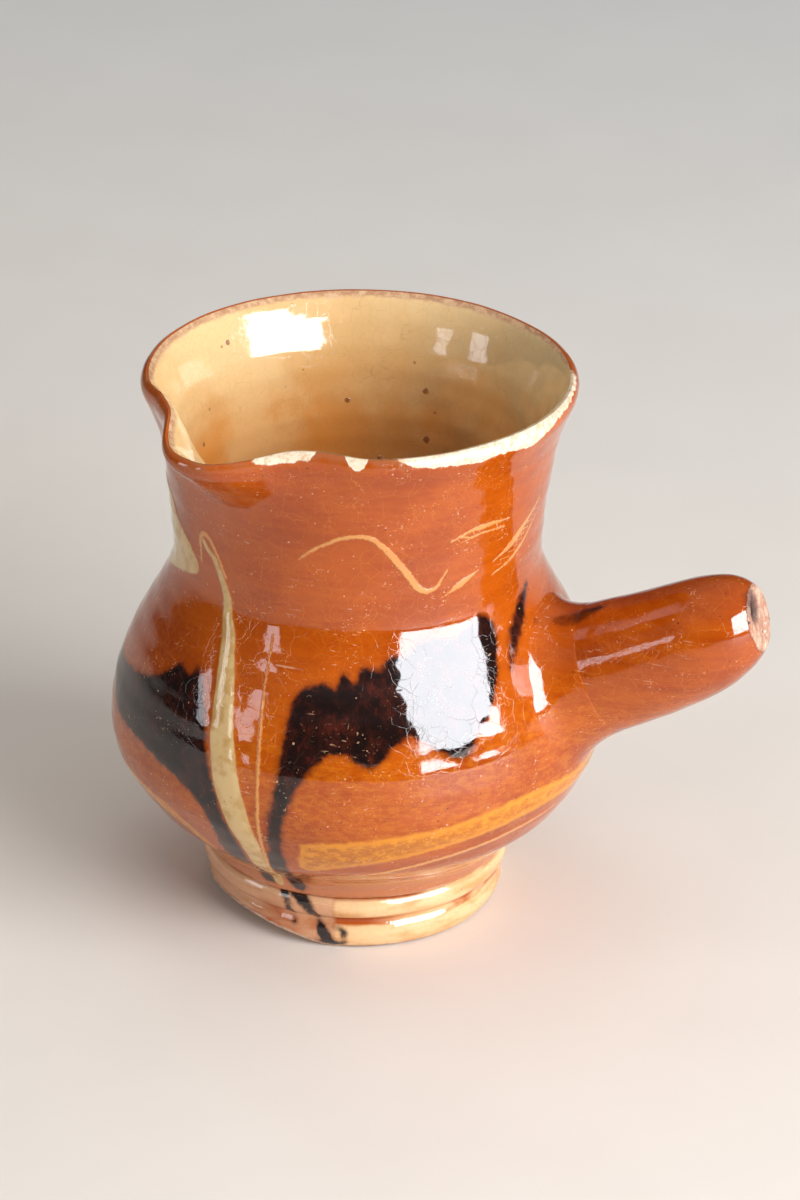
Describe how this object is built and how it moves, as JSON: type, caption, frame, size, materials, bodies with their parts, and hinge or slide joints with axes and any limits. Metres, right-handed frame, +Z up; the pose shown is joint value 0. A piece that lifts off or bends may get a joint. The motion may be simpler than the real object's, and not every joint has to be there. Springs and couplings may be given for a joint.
{
  "type": "pitcher",
  "caption": "Small glazed earthenware pouring pitcher with a ribbed foot, round belly, flared neck, pinched pouring lip and a hollow stub handle rising from its side.",
  "frame": {"origin": "on the pot's axis, in the plane that its foot stands on", "axes": "+Z up along the pot's axis, +X toward the handle, the pouring lip at 252 degrees from +X round +Z"},
  "size_m": [0.1542, 0.114, 0.1307],
  "materials": {
    "red_glazed_clay": "glossy honey-brown lead glaze with fine crackle over red earthenware",
    "cream_slip": "glossy cream slip under clear glaze, worn at the rim",
    "black_slip": "glossy manganese black slip under clear glaze",
    "ochre_slip": "glossy speckled ochre slip under clear glaze"
  },
  "bodies": {
    "root": {"body_wall": "red_glazed_clay", "foot_ring": "red_glazed_clay", "handle": "red_glazed_clay", "handle_collar": "red_glazed_clay", "slip_lining": "cream_slip", "cream_trail_wide": "cream_slip", "cream_trail_thin": "cream_slip", "cream_smear_neck": "cream_slip", "neck_curl": "cream_slip", "neck_brush_mark_high": "cream_slip", "neck_brush_mark_low": "cream_slip", "neck_dash": "cream_slip", "cream_band_low": "cream_slip", "cream_band_high": "cream_slip", "black_patch_left": "black_slip", "black_patch_right": "black_slip", "black_drips_low": "black_slip", "black_drips_high": "black_slip", "ochre_slip_belt": "ochre_slip"}
  },
  "joints": []
}
